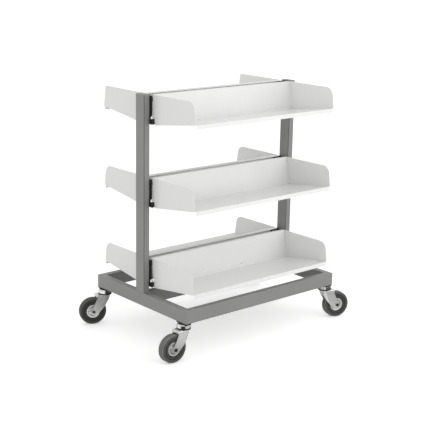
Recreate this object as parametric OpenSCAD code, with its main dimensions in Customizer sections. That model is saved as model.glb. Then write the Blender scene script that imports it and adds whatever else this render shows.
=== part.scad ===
// Double-sided book trolley: a tube frame on four swivel castors and six sloping trays in three tiers.
// The origin is on the floor under the middle, +X runs along the trays and +Z is up.

/* [Overall sizes] */
// Length of the base frame, along the trays
frame_length = 890; // [650:5:1300]
// Depth of the base frame, across both sides
frame_depth = 652; // [500:2:840]
// Height from the floor to the tops of the uprights
overall_height = 1106; // [920:2:1500]

/* [Frame tubes] */
// Height of the base rail tube
rail_height = 60; // [40:1:80]
// Width of the base rail tube
rail_width = 30; // [24:1:45]
// Depth of an upright tube, across the trolley
upright_depth = 60; // [40:1:72]
// Width of an upright tube, along the trolley
upright_width = 30; // [25:1:45]
// Wall of the frame tubes
tube_wall = 2; // [1.5:0.5:3]
// Outer radius of an upright tube's corners
tube_corner = 3; // [2.5:0.5:5]
// Thickness of the cap over an upright's top
cap_thickness = 3; // [2:0.5:6]
// Leg of the fillet welds
weld_leg = 3; // [2:0.5:5]

/* [Trays] */
// Slope of a tray's base, rising outwards, in degrees
tray_slope = 7.7; // [4:0.1:12]
// Height of a tray's back, along the sheet
back_height = 131.5; // [108:0.5:180]
// Distance from the middle plane to the fold between base and back
fold_offset = 52; // [48:0.5:75]
// How far a tray's front edge stays inside the side of the base frame
tray_setback = 2; // [-20:0.5:20]
// Height of the lip folded down along a tray's front edge
lip_height = 17; // [8:1:30]
// How far the lip's ends stop short of the end panels
lip_inset = 5; // [2:1:12]
// Depth of the flange folded inwards along the back's top
flange_depth = 20; // [10:1:24]
// Thickness of the tray sheet
sheet = 1.5; // [1:0.1:2]
// Outer radius of a fold in the sheet
fold_radius = 3; // [2.5:0.5:5]
// Radius of the end panels' outer top corners
corner_radius = 40; // [20:1:55]
// Radius of those corners on the top rear tray
top_rear_corner_radius = 12; // [6:1:55]
// Gap between an upright and the end panel beside it
tray_end_gap = 11; // [8:0.5:18]
// Height of the lowest folds above the base frame
lowest_fold = 24; // [12:0.5:60]
// How far the uprights stand above the top trays' backs
upright_rise = 1; // [0:0.5:40]

/* [Tray brackets] */
// Height of a lower bracket's top above the fold
bracket_height = 28; // [22:1:45]
// Height of a bracket block's foot above the fold
block_start = 5; // [0:0.5:8]
// Thickness of a bracket's plate behind the back
bracket_plate = 4; // [3:0.5:6]
// Reach of a bracket behind the back, from the upright
bracket_reach = 36; // [28:1:60]
// Height of an upper bracket
upper_bracket_height = 22; // [18:1:35]
// Diameter of the bracket screws
screw_diameter = 6; // [5:1:8]
// Width across flats of the cap nut on a lower bracket
cap_nut_flats = 13; // [10:1:17]
// Distance of the open fixing holes from the middle, in the bottom trays' backs
fixing_hole_offset = 113; // [60:1:250]

/* [Castors] */
// Diameter of the wheels
wheel_diameter = 125; // [100:5:150]
// Width of the tyre
tyre_width = 36; // [26:1:44]
// Gap between the tyre and the crown of the fork above it
crown_gap = 12; // [9:0.5:24]
// Distance from the swivel axis to the wheel's axle, measured level
castor_trail = 60; // [48:1:72]
// Distance of the swivel axes from the sides of the base frame
castor_inset = 34; // [28:1:60]
// Diameter of the bearing cup
cup_diameter = 60; // [50:1:66]
// Height of the bearing cup
cup_height = 16.5; // [10:0.5:18]
// Height of the dust ring under the bearing cup
dust_ring_height = 6; // [3:0.5:8]
// Thickness of the mounting plate
plate_thickness = 4; // [3:0.5:6]
// Thickness of the fork's sheet
fork_sheet = 3; // [2.5:0.5:4]
// Radius of the foot at the end of a fork leg
fork_foot = 16; // [14:1:22]
// Gap between the tyre and a fork leg
fork_gap = 3.5; // [2:0.5:8]
// Diameter of the kingpin
kingpin_diameter = 12; // [10:1:16]
// Diameter of the axle bolt
axle_diameter = 8; // [6:1:12]
// Width across flats of the axle bolt's head and nut
axle_nut_flats = 13; // [10:1:19]
// Diameter of the wheel's rim, under the tyre
rim_diameter = 63; // [52:1:80]
// Swivel angle of the front left castor, with the rear right one opposite
front_left_swivel = 178; // [0:1:359]
// Swivel angle of the rear left castor, with the front right one opposite
rear_left_swivel = 160; // [0:1:359]

/* [Hidden] */
FRAME_NODES = ["base_front_rail", "base_rear_rail", "base_left_rail", "base_right_rail", "base_centre_beam",
    "left_upright", "right_upright", "upright_caps", "frame_welds", "castor_mount_bolts"];
TRAY_NODES = [
    "top_front_tray_sheet", "top_front_tray_left_end", "top_front_tray_right_end",
    "top_rear_tray_sheet", "top_rear_tray_left_end", "top_rear_tray_right_end",
    "middle_front_tray_sheet", "middle_front_tray_left_end", "middle_front_tray_right_end",
    "middle_rear_tray_sheet", "middle_rear_tray_left_end", "middle_rear_tray_right_end",
    "bottom_front_tray_sheet", "bottom_front_tray_left_end", "bottom_front_tray_right_end",
    "bottom_rear_tray_sheet", "bottom_rear_tray_left_end", "bottom_rear_tray_right_end",
    "top_tray_brackets", "middle_tray_brackets", "bottom_tray_brackets",
    "top_tray_fixings", "middle_tray_fixings", "bottom_tray_fixings"];
CASTOR_NODES = [
    "front_left_castor_plate", "front_left_castor_bearing", "front_left_castor_fork",
    "front_left_castor_axle", "front_left_castor_wheel", "front_left_castor_tyre",
    "front_right_castor_plate", "front_right_castor_bearing", "front_right_castor_fork",
    "front_right_castor_axle", "front_right_castor_wheel", "front_right_castor_tyre",
    "rear_left_castor_plate", "rear_left_castor_bearing", "rear_left_castor_fork",
    "rear_left_castor_axle", "rear_left_castor_wheel", "rear_left_castor_tyre",
    "rear_right_castor_plate", "rear_right_castor_bearing", "rear_right_castor_fork",
    "rear_right_castor_axle", "rear_right_castor_wheel", "rear_right_castor_tyre"];

$fn = 64;

frame_grey = [0.50, 0.50, 0.49];
tray_white = [0.93, 0.93, 0.92];
bracket_black = [0.07, 0.07, 0.07];
zinc = [0.75, 0.76, 0.74];
tyre_grey = [0.31, 0.32, 0.30];

// Frame levels and places
half_length = frame_length / 2;
half_depth = frame_depth / 2;
race_gap = 0.4;
castor_height = wheel_diameter + crown_gap + fork_sheet + dust_ring_height + cup_height + race_gap
    + plate_thickness;
rail_bottom = castor_height;
rail_top = castor_height + rail_height;
cap_bottom = overall_height - cap_thickness;
upright_inner = half_length - upright_width;
upright_middle = half_length - upright_width / 2;
fit_gap = 0.1;

// Tray levels and places
tray_half = upright_inner - tray_end_gap;
sheet_half = tray_half - sheet;
base_depth = (half_depth - tray_setback - fold_offset) / cos(tray_slope);
bottom_fold = rail_top + lowest_fold;
top_fold = overall_height - upright_rise - back_height * cos(tray_slope);
middle_fold = (bottom_fold + top_fold) / 2;

// Castor levels and places, from the mounting plate down
wheel_radius = wheel_diameter / 2;
pivot_x = half_length - rail_width / 2;
pivot_y = half_depth - castor_inset;
plate_bottom = rail_bottom - plate_thickness;
race_height = 4;
cup_radius = cup_diameter / 2;
cup_top = plate_bottom - race_gap;
cup_bottom = cup_top - cup_height;
crown_top = cup_bottom - dust_ring_height;
crown_bottom = crown_top - fork_sheet;
leg_inner = tyre_width / 2 + fork_gap;
leg_outer = leg_inner + fork_sheet;
pin_clearance = 0.05;
plate_length = 2 * castor_inset;
bolt_diameter = 6;
bolt_head_height = 3;
bolt_edge = 7.5;
bolt_offset = castor_inset - bolt_edge;
race_radius = min(bolt_offset - bolt_diameter - 0.5, cup_radius - 6);

// Helpers

// Draws a profile in the Y and Z plane along X, centred
module along_x(length) {
    rotate([90, 0, 90])
        linear_extrude(height = length, center = true)
            children();
}

// Quarter of a ring, in the quadrant of positive x and y
module quarter_ring(outer, inner) {
    intersection() {
        difference() {
            circle(r = outer);
            circle(r = inner);
        }
        square(outer + 1);
    }
}

// Rectangle with rounded corners, centred, from circles and squares
module rounded_rectangle(x, y, r) {
    square([x - 2 * r, y], center = true);
    square([x, y - 2 * r], center = true);
    for (i = [-1, 1], j = [-1, 1])
        translate([i * (x / 2 - r), j * (y / 2 - r)])
            circle(r = r);
}

// Hexagon across flats
module hexagon(flats) {
    circle(d = flats / cos(30), $fn = 6);
}

// Right-angled fillet bead along Z, with its corner on the axis
module weld_bead(length) {
    linear_extrude(height = length, center = true)
        polygon([[0, 0], [weld_leg, 0], [0, weld_leg]]);
}

// Frame

// Section of the base tube, centred
module rail_section() {
    difference() {
        rounded_rectangle(rail_width, rail_height, tube_corner);
        square([rail_width - 2 * tube_wall, rail_height - 2 * tube_wall], center = true);
    }
}

// Tube of the base ring along X, on the negative Y side, cut to a mitre at both ends
module mitred_rail(length, width_across) {
    half = length / 2;
    edge = -width_across / 2;
    intersection() {
        translate([0, edge + rail_width / 2, rail_bottom + rail_height / 2])
            along_x(length)
                rail_section();
        translate([0, 0, rail_bottom])
            linear_extrude(height = rail_height)
                polygon([[-half, edge], [half, edge],
                    [half - rail_width, edge + rail_width], [-half + rail_width, edge + rail_width]]);
    }
}

// Holes for the bolts of all four castors, through the lower walls of the ring
module castor_bolt_holes() {
    for (x = [-pivot_x, pivot_x], y = [-pivot_y, pivot_y], i = [-1, 1])
        translate([x, y + i * bolt_offset, rail_bottom - 1])
            cylinder(d = bolt_diameter + fit_gap, h = tube_wall + 2);
}

module base_long_rail() {
    color(frame_grey)
        difference() {
            mitred_rail(frame_length, frame_depth);
            castor_bolt_holes();
        }
}

module base_end_rail() {
    color(frame_grey)
        difference() {
            rotate([0, 0, -90])
                mitred_rail(frame_depth, frame_length);
            castor_bolt_holes();
        }
}

module base_centre_beam() {
    color(frame_grey)
        translate([0, 0, rail_bottom + rail_height / 2])
            along_x(frame_length - 2 * rail_width)
                rail_section();
}

// Places where a bracket's screw meets an upright, on its inner face
module at_upright_screws() {
    for (fold = [bottom_fold, middle_fold, top_fold], s = [-1, 1]) {
        translate([upright_inner, s * screw_y, fold + bracket_height / 2])
            rotate([0, 90, 0])
                children();
        translate([upright_inner, s * screw_y, fold + upper_bracket_middle])
            rotate([0, 90, 0])
                children();
    }
}

// Right-hand upright: hollow tube with plain holes for the bracket screws
module upright() {
    color(frame_grey)
        difference() {
            translate([upright_middle, 0, rail_top])
                linear_extrude(height = cap_bottom - rail_top)
                    difference() {
                        rounded_rectangle(upright_width, upright_depth, tube_corner);
                        square([upright_width - 2 * tube_wall, upright_depth - 2 * tube_wall], center = true);
                    }
            at_upright_screws()
                translate([0, 0, -1])
                    cylinder(d = screw_diameter + fit_gap, h = tube_wall + 2);
        }
}

// Cap over an upright's top, with the plug that holds it in the tube
module upright_cap() {
    plug_depth = 8;
    color(frame_grey)
        translate([upright_middle, 0, 0]) {
            translate([0, 0, cap_bottom])
                linear_extrude(height = cap_thickness)
                    rounded_rectangle(upright_width, upright_depth, tube_corner);
            translate([0, 0, cap_bottom - plug_depth])
                linear_extrude(height = plug_depth + cap_thickness / 2)
                    square([upright_width - 2 * tube_wall - fit_gap, upright_depth - 2 * tube_wall - fit_gap],
                        center = true);
        }
}

module upright_caps() {
    for (side = [0, 1])
        mirror([side, 0, 0])
            upright_cap();
}

// Beads along both faces of an upright's foot and down both sides of the beam's end
module frame_welds() {
    bead_foot = rail_width - 2;
    bead_beam = rail_height - 4;
    color(frame_grey)
        for (i = [0, 1], j = [0, 1])
            mirror([i, 0, 0])
                mirror([0, j, 0]) {
                    translate([half_length - rail_width / 2, upright_depth / 2, rail_top])
                        rotate([90, 0, 90])
                            weld_bead(bead_foot);
                    translate([half_length - rail_width, rail_width / 2, rail_bottom + rail_height / 2])
                        rotate([0, 0, 90])
                            weld_bead(bead_beam);
                }
}

// Trays

// Puts what is drawn for the rear side on the front side too, or instead
module on_side(front) {
    if (front)
        mirror([0, 1, 0])
            children();
    else
        children();
}

// Tray coordinates: X along, Y out along the base, Z up along the back, zero at the fold
module at_fold(fold) {
    translate([0, fold_offset, fold])
        rotate([tray_slope, 0, 0])
            children();
}

// Base, back and top flange in section, with their folds
module tray_section() {
    inner = fold_radius - sheet;
    translate([fold_radius, 0])
        square([base_depth - 2 * fold_radius, sheet]);
    translate([fold_radius, fold_radius])
        rotate(180)
            quarter_ring(fold_radius, inner);
    translate([0, fold_radius])
        square([sheet, back_height - 2 * fold_radius]);
    translate([sheet - fold_radius, back_height - fold_radius])
        quarter_ring(fold_radius, inner);
    translate([-flange_depth, back_height - sheet])
        square([flange_depth + sheet - fold_radius, sheet]);
}

// Front lip in section, with its fold
module lip_section() {
    translate([base_depth - fold_radius, sheet - fold_radius])
        quarter_ring(fold_radius, fold_radius - sheet);
    translate([base_depth - sheet, -lip_height])
        square([sheet, lip_height + sheet - fold_radius]);
}

// Folded sheet of one tray, with two open fixing holes in the back where it is drilled
module tray_sheet(fold, front, drilled) {
    hole_height = 18;
    color(tray_white)
        on_side(front)
            at_fold(fold)
                difference() {
                    union() {
                        along_x(2 * sheet_half)
                            tray_section();
                        along_x(2 * (sheet_half - lip_inset))
                            lip_section();
                    }
                    if (drilled)
                        for (x = [-fixing_hole_offset, fixing_hole_offset])
                            translate([x, -1, hole_height])
                                rotate([-90, 0, 0])
                                    cylinder(d = screw_diameter, h = sheet + 2);
                }
}

// Flat end panel: sloping bottom, level top and a rounded outer corner
module end_panel_outline(corner) {
    arc_u = base_depth - corner;
    arc_v = back_height - arc_u * tan(tray_slope) - corner / cos(tray_slope);
    polygon([[0, 0], [base_depth, 0], [base_depth, arc_v],
        [arc_u + corner * sin(tray_slope), arc_v + corner * cos(tray_slope)],
        [0, back_height]]);
    translate([arc_u, arc_v])
        circle(r = corner, $fn = 96);
}

module tray_end(fold, front, left, corner = corner_radius) {
    color(tray_white)
        on_side(front)
            at_fold(fold)
                translate([(left ? -1 : 1) * (tray_half - sheet / 2), 0, 0])
                    along_x(sheet)
                        end_panel_outline(corner);
}

// Brackets, drawn for the rear right corner

bracket_outer = tray_half + 1;
bracket_lap = cap_nut_flats - upright_inner + bracket_outer;
bracket_front = fold_offset - 2;
plate_start = block_start + 1;
screw_y = upright_depth / 2 - 10;
stud_x = upright_inner - bracket_reach + 10;
plate_height = bracket_height - plate_start;
stud_v = plate_start + plate_height / 2;
nut_x = bracket_outer + cap_nut_flats / 2;
bolt_bore = 8;
block_height = bracket_height - block_start;
upper_plate_start = back_height - upper_bracket_height - 6;
upper_stud_v = upper_plate_start + upper_bracket_height / 2;
upper_bracket_middle = upper_stud_v * cos(tray_slope);
strip_front = fold_offset - upper_stud_v * sin(tray_slope) - bracket_plate / 2;
strip_top = upper_bracket_middle + upper_bracket_height / 2 * cos(tray_slope);
nut_y = strip_front + cap_nut_flats / 2 + 0.5;

// Plate behind a tray's back, bored for the stud that is welded to the back
module bracket_plate_behind(fold, start, height) {
    at_fold(fold)
        difference() {
            translate([upright_inner - bracket_reach, -bracket_plate, start])
                cube([bracket_reach, bracket_plate, height]);
            translate([stud_x, -bracket_plate - 1, start + height / 2])
                rotate([-90, 0, 0])
                    cylinder(d = screw_diameter + fit_gap, h = bracket_plate + 2);
        }
}

// Strip up an upright's inner face, from the block to the upper plate, bored for its two screws
module bracket_strip(fold) {
    difference() {
        translate([bracket_outer, screw_y - 10, fold + block_start])
            cube([upright_inner - bracket_outer, strip_front - screw_y + 10, strip_top - block_start]);
        for (z = [bracket_height / 2, upper_bracket_middle])
            translate([bracket_outer - 1, screw_y, fold + z])
                rotate([0, 90, 0])
                    cylinder(d = screw_diameter + fit_gap, h = upright_inner - bracket_outer + 2);
    }
}

// Strip, block beside the upright and both plates, bored for the bolt that stands in the block
module tray_bracket(fold) {
    difference() {
        union() {
            bracket_strip(fold);
            translate([bracket_outer, upright_depth / 2 + 0.2, fold + block_start])
                cube([upright_inner + bracket_lap - bracket_outer, bracket_front - upright_depth / 2,
                    block_height]);
            bracket_plate_behind(fold, plate_start, plate_height);
            bracket_plate_behind(fold, upper_plate_start, upper_bracket_height);
        }
        translate([nut_x, nut_y, fold + block_start - 1])
            cylinder(d = bolt_bore + fit_gap, h = block_height + 2);
    }
}

module tray_brackets(fold) {
    color(bracket_black)
        for (i = [0, 1], j = [0, 1])
            mirror([i, 0, 0])
                mirror([0, j, 0])
                    tray_bracket(fold);
}

// Hexagon screw along Z: head below zero, shank above
module hex_screw(grip) {
    head = 4;
    translate([0, 0, -head])
        linear_extrude(height = head)
            hexagon(10);
    translate([0, 0, -1])
        cylinder(d = screw_diameter, h = grip + 1);
}

// Stud welded to a back, along negative Y through the plate, with its nut
module stud_and_nut() {
    nut = 5;
    rotate([90, 0, 0]) {
        cylinder(d = screw_diameter, h = bracket_plate + nut + 1);
        translate([0, 0, bracket_plate])
            linear_extrude(height = nut)
                hexagon(10);
    }
}

// Bolt up through a block with its head below and a domed cap nut on top
module bolt_and_cap_nut() {
    head = 5;
    collar = 6.5;
    dome = cap_nut_flats / 2 - 0.3;
    translate([0, 0, -head])
        linear_extrude(height = head)
            hexagon(cap_nut_flats);
    translate([0, 0, -1])
        cylinder(d = bolt_bore, h = block_height + 2);
    translate([0, 0, block_height]) {
        linear_extrude(height = collar)
            hexagon(cap_nut_flats);
        cylinder(r = dome, h = collar + 1);
        translate([0, 0, collar + 1])
            sphere(r = dome);
    }
}

module tray_fixings(fold) {
    color(zinc)
        for (i = [0, 1], j = [0, 1])
            mirror([i, 0, 0])
                mirror([0, j, 0]) {
                    for (z = [bracket_height / 2, upper_bracket_middle])
                        translate([bracket_outer, screw_y, fold + z])
                            rotate([0, 90, 0])
                                hex_screw(upright_inner - bracket_outer + tube_wall + 4);
                    at_fold(fold)
                        for (v = [stud_v, upper_stud_v])
                            translate([stud_x, 0, v])
                                stud_and_nut();
                    translate([nut_x, nut_y, fold + block_start])
                        bolt_and_cap_nut();
                }
}

// Castors, drawn with the swivel axis on Z and the wheel behind it along +X

// Countersunk bolt's head and shank, as a solid or, a little larger, as its hole
module countersunk(clearance, length) {
    cylinder(d1 = 2 * bolt_diameter + clearance, d2 = bolt_diameter + clearance, h = bolt_head_height);
    cylinder(d = bolt_diameter + clearance, h = length);
}

// Mounting plate with the upper race, the kingpin and the head riveted on its end
module castor_plate() {
    head_height = 6;
    head_radius = kingpin_diameter / 2 + 5;
    head_top = crown_bottom - race_gap;
    color(bracket_black)
        difference() {
            union() {
                translate([0, 0, plate_bottom])
                    linear_extrude(height = plate_thickness)
                        rounded_rectangle(rail_width, plate_length, 3);
                translate([0, 0, plate_bottom - race_height])
                    cylinder(r = race_radius, h = race_height);
                translate([0, 0, head_top - 1])
                    cylinder(d = kingpin_diameter, h = plate_bottom - head_top + 1);
                translate([0, 0, head_top - head_height])
                    cylinder(r = head_radius, h = head_height);
            }
            for (i = [-1, 1])
                translate([0, i * bolt_offset, plate_bottom])
                    countersunk(fit_gap, plate_thickness + 1);
        }
}

// Cup with a rounded shoulder and a recess for the upper race, on its dust ring
module castor_bearing() {
    shoulder = 7;
    bore = kingpin_diameter / 2 + pin_clearance;
    recess = race_radius + race_gap;
    floor_height = cup_height - race_height;
    color(zinc)
        translate([0, 0, cup_bottom])
            rotate_extrude() {
                translate([bore, -dust_ring_height])
                    square([cup_radius + 1 - bore, dust_ring_height]);
                translate([bore, -1])
                    square([cup_radius - bore, floor_height + 1]);
                translate([recess, 0])
                    square([cup_radius - recess, cup_height - shoulder]);
                translate([recess, cup_height - shoulder])
                    intersection() {
                        union() {
                            translate([cup_radius - shoulder - recess, 0])
                                circle(r = shoulder);
                            square([cup_radius - shoulder - recess, shoulder]);
                        }
                        square([cup_radius - recess, shoulder]);
                    }
            }
}

// Fork of pressed sheet: a crown with a leaning round front, a short back wall and two legs

crown_tail = castor_trail - 15;
crown_bend = 5;
back_wall_bottom = crown_bottom - 9;
foot_centre = [castor_trail - 5.5, wheel_radius - 2.5];
front_foot = [castor_trail - 67, wheel_radius + 44];
front_arch = 9;
edge_radius = 220;
fork_lean = atan2(castor_trail - wheel_radius + 18.5, crown_top - wheel_radius - 24.5);

// Point where a line from p touches a circle; turn is 1 or -1 for the side
function touch(p, centre, radius, turn) =
    let (
        reach = norm(centre - p),
        bearing = atan2(centre.y - p.y, centre.x - p.x) + turn * asin(radius / reach),
        run = sqrt(pow(reach, 2) - pow(radius, 2))
    )
    p + run * [cos(bearing), sin(bearing)];

// Centre of a large circle that passes through p and holds a small one, touching it from inside
function around(p, centre, radius, large) =
    let (
        reach = norm(centre - p),
        inner = large - radius,
        turn = acos((pow(large, 2) + pow(reach, 2) - pow(inner, 2)) / (2 * large * reach)),
        bearing = atan2(centre.y - p.y, centre.x - p.x) + turn
    )
    p + large * [cos(bearing), sin(bearing)];

// Side view of the fork, with X along the trail and Y up
module fork_outline() {
    back_edge = [crown_tail - 9, crown_bottom];
    back_touch = touch(back_edge, foot_centre, fork_foot - 0.1, 1);
    back_slope = (back_touch.x - back_edge.x) / (back_edge.y - back_touch.y);
    edge_centre = around(front_foot, foot_centre, fork_foot, edge_radius);
    outwards = (foot_centre - edge_centre) / norm(foot_centre - edge_centre);
    edge_touch = foot_centre + (fork_foot - 0.1) * outwards;
    polygon([[-2 * cup_radius, crown_top], [-2 * cup_radius, front_foot.y + front_arch],
        [front_foot.x - front_arch, front_foot.y + front_arch], front_foot, foot_centre, back_touch,
        [back_edge.x + (crown_bottom - back_wall_bottom) * back_slope, back_wall_bottom],
        [crown_tail, back_wall_bottom], [crown_tail, crown_top - crown_bend],
        [crown_tail - crown_bend, crown_top]]);
    translate([crown_tail - crown_bend, crown_top - crown_bend])
        circle(r = crown_bend);
    translate(foot_centre)
        circle(r = fork_foot);
    intersection() {
        translate(edge_centre)
            circle(r = edge_radius);
        polygon([front_foot, (front_foot + edge_touch) / 2 + 10 * outwards, edge_touch, foot_centre,
            back_touch]);
    }
}

// Inside of the fork in the same view, open below and closed by the crown and the back wall
module hollow_outline() {
    polygon([[-2 * cup_radius, -1], [2 * wheel_diameter, -1], [2 * wheel_diameter, back_wall_bottom - 1],
        [crown_tail - fork_sheet, back_wall_bottom - 1], [crown_tail - fork_sheet, crown_bottom],
        [-2 * cup_radius, crown_bottom]]);
}

// Straight sides that run into a leaning round front, cut to a side view
module fork_form(half) {
    intersection() {
        translate([0, 0, crown_top])
            rotate([0, -fork_lean, 0])
                linear_extrude(height = 2 * wheel_diameter + 80, center = true) {
                    circle(r = half);
                    translate([0, -half])
                        square([wheel_diameter, 2 * half]);
                }
        rotate([90, 0, 0])
            linear_extrude(height = 3 * half, center = true)
                children();
    }
}

// Fork's section across the trail, with rounded shoulders
module shoulder_section() {
    translate([-leg_outer, 0])
        square([2 * leg_outer, crown_top - crown_bend]);
    translate([-leg_outer + crown_bend, 0])
        square([2 * (leg_outer - crown_bend), crown_top]);
    for (side = [-1, 1])
        translate([side * (leg_outer - crown_bend), crown_top - crown_bend])
            circle(r = crown_bend);
}

module castor_fork() {
    bore = kingpin_diameter / 2 + pin_clearance;
    back_hole = 4;
    color(zinc)
        difference() {
            intersection() {
                fork_form(leg_outer)
                    fork_outline();
                along_x(4 * wheel_diameter)
                    shoulder_section();
            }
            fork_form(leg_inner)
                hollow_outline();
            translate([0, 0, crown_bottom - 1])
                cylinder(r = bore, h = fork_sheet + 2);
            translate([castor_trail, leg_outer + 1, wheel_radius])
                rotate([90, 0, 0])
                    cylinder(d = axle_diameter + fit_gap, h = 2 * leg_outer + 2);
            translate([crown_tail - fork_sheet - 1, 0, (crown_top - crown_bend + back_wall_bottom) / 2])
                rotate([0, 90, 0])
                    cylinder(d = back_hole, h = fork_sheet + 2);
        }
}

// Axle bolt with a hexagon head on one side and a nut on the other
module castor_axle() {
    head = 6;
    color(zinc)
        translate([castor_trail, 0, wheel_radius])
            rotate([90, 0, 0]) {
                translate([0, 0, -leg_outer - head - 2])
                    cylinder(d = axle_diameter, h = 2 * leg_outer + 2 * head + 4);
                for (z = [leg_outer, -leg_outer - head])
                    translate([0, 0, z])
                        linear_extrude(height = head)
                            hexagon(axle_nut_flats);
            }
}

// Hub with a dished web and a flat rim, on a plain bore
module castor_wheel() {
    bore = axle_diameter / 2 + pin_clearance;
    rim = rim_diameter / 2;
    boss = leg_inner - 0.5;
    rim_half = tyre_width / 2 - 3;
    web_half = rim_half - 5;
    color(zinc)
        translate([castor_trail, 0, wheel_radius])
            rotate([90, 0, 0])
                rotate_extrude()
                    polygon([[bore, -boss], [12, -boss], [14, -web_half - 1], [rim - 9, -web_half],
                        [rim - 6, -rim_half], [rim, -rim_half], [rim, rim_half], [rim - 6, rim_half],
                        [rim - 9, web_half], [14, web_half + 1], [12, boss], [bore, boss]]);
}

// Solid tyre: recessed beads, sidewalls with a ring groove, rounded shoulders and a grooved tread
module castor_tyre() {
    half = tyre_width / 2;
    rim = rim_diameter / 2;
    bead = 5;
    bead_depth = 2.5;
    shoulder = 7;
    groove_depth = 2.2;
    groove_width = 3;
    rib_pitch = 8.5;
    ring_width = 2.5;
    ring_depth = 1.2;
    ring_radius = (rim + bead + wheel_radius - shoulder) / 2;
    color(tyre_grey)
        translate([castor_trail, 0, wheel_radius])
            rotate([90, 0, 0])
                rotate_extrude($fn = 96)
                    difference() {
                        union() {
                            translate([rim, -half + bead_depth])
                                square([wheel_radius - rim, tyre_width - 2 * bead_depth]);
                            translate([rim + bead, -half])
                                square([wheel_radius - rim - shoulder - bead, tyre_width]);
                        }
                        for (s = [-1, 1])
                            difference() {
                                translate([wheel_radius - shoulder, s > 0 ? half - shoulder : -half - 1])
                                    square([shoulder + 1, shoulder + 1]);
                                translate([wheel_radius - shoulder, s * (half - shoulder)])
                                    circle(r = shoulder, $fn = 48);
                            }
                        for (s = [-1, 1])
                            translate([ring_radius - ring_width / 2, s * half - ring_depth])
                                square([ring_width, 2 * ring_depth]);
                        for (i = [-1, 0, 1])
                            translate([wheel_radius - groove_depth, i * rib_pitch - groove_width / 2])
                                square([groove_depth + 1, groove_width]);
                    }
}

// Countersunk bolts of the mounting plates, with their nuts inside the end rails
module castor_mount_bolts() {
    nut = 5;
    color(bracket_black)
        for (x = [-pivot_x, pivot_x], y = [-pivot_y, pivot_y], i = [-1, 1])
            translate([x, y + i * bolt_offset, plate_bottom]) {
                countersunk(0, plate_thickness + tube_wall + nut + 1);
                translate([0, 0, plate_thickness + tube_wall])
                    linear_extrude(height = nut)
                        hexagon(10);
            }
}

// Puts a castor's piece at its corner: end is -1 left or 1 right, side is -1 front or 1 rear
module at_castor(end, side) {
    translate([end * pivot_x, side * pivot_y, 0])
        children();
}

module swivelled(end, side) {
    angle = end * side > 0 ? front_left_swivel : rear_left_swivel;
    at_castor(end, side)
        rotate([0, 0, end < 0 ? angle : angle + 180])
            children();
}

base_long_rail();  // base_front_rail
mirror([0, 1, 0]) base_long_rail();  // base_rear_rail
base_end_rail();  // base_left_rail
mirror([1, 0, 0]) base_end_rail();  // base_right_rail
base_centre_beam();
mirror([1, 0, 0]) upright();  // left_upright
upright();  // right_upright
upright_caps();
frame_welds();
castor_mount_bolts();
tray_sheet(top_fold, true, false);  // top_front_tray_sheet
tray_end(top_fold, true, true);  // top_front_tray_left_end
tray_end(top_fold, true, false);  // top_front_tray_right_end
tray_sheet(top_fold, false, false);  // top_rear_tray_sheet
tray_end(top_fold, false, true, top_rear_corner_radius);  // top_rear_tray_left_end
tray_end(top_fold, false, false, top_rear_corner_radius);  // top_rear_tray_right_end
tray_sheet(middle_fold, true, false);  // middle_front_tray_sheet
tray_end(middle_fold, true, true);  // middle_front_tray_left_end
tray_end(middle_fold, true, false);  // middle_front_tray_right_end
tray_sheet(middle_fold, false, false);  // middle_rear_tray_sheet
tray_end(middle_fold, false, true);  // middle_rear_tray_left_end
tray_end(middle_fold, false, false);  // middle_rear_tray_right_end
tray_sheet(bottom_fold, true, true);  // bottom_front_tray_sheet
tray_end(bottom_fold, true, true);  // bottom_front_tray_left_end
tray_end(bottom_fold, true, false);  // bottom_front_tray_right_end
tray_sheet(bottom_fold, false, true);  // bottom_rear_tray_sheet
tray_end(bottom_fold, false, true);  // bottom_rear_tray_left_end
tray_end(bottom_fold, false, false);  // bottom_rear_tray_right_end
tray_brackets(top_fold);  // top_tray_brackets
tray_brackets(middle_fold);  // middle_tray_brackets
tray_brackets(bottom_fold);  // bottom_tray_brackets
tray_fixings(top_fold);  // top_tray_fixings
tray_fixings(middle_fold);  // middle_tray_fixings
tray_fixings(bottom_fold);  // bottom_tray_fixings
at_castor(-1, -1) castor_plate();  // front_left_castor_plate
swivelled(-1, -1) castor_bearing();  // front_left_castor_bearing
swivelled(-1, -1) castor_fork();  // front_left_castor_fork
swivelled(-1, -1) castor_axle();  // front_left_castor_axle
swivelled(-1, -1) castor_wheel();  // front_left_castor_wheel
swivelled(-1, -1) castor_tyre();  // front_left_castor_tyre
at_castor(1, -1) castor_plate();  // front_right_castor_plate
swivelled(1, -1) castor_bearing();  // front_right_castor_bearing
swivelled(1, -1) castor_fork();  // front_right_castor_fork
swivelled(1, -1) castor_axle();  // front_right_castor_axle
swivelled(1, -1) castor_wheel();  // front_right_castor_wheel
swivelled(1, -1) castor_tyre();  // front_right_castor_tyre
at_castor(-1, 1) castor_plate();  // rear_left_castor_plate
swivelled(-1, 1) castor_bearing();  // rear_left_castor_bearing
swivelled(-1, 1) castor_fork();  // rear_left_castor_fork
swivelled(-1, 1) castor_axle();  // rear_left_castor_axle
swivelled(-1, 1) castor_wheel();  // rear_left_castor_wheel
swivelled(-1, 1) castor_tyre();  // rear_left_castor_tyre
at_castor(1, 1) castor_plate();  // rear_right_castor_plate
swivelled(1, 1) castor_bearing();  // rear_right_castor_bearing
swivelled(1, 1) castor_fork();  // rear_right_castor_fork
swivelled(1, 1) castor_axle();  // rear_right_castor_axle
swivelled(1, 1) castor_wheel();  // rear_right_castor_wheel
swivelled(1, 1) castor_tyre();  // rear_right_castor_tyre
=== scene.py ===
# A double-sided library book trolley: grey tube frame, white folded trays, swivel castors.
import bpy
import math
from mathutils import Matrix, Vector


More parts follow.
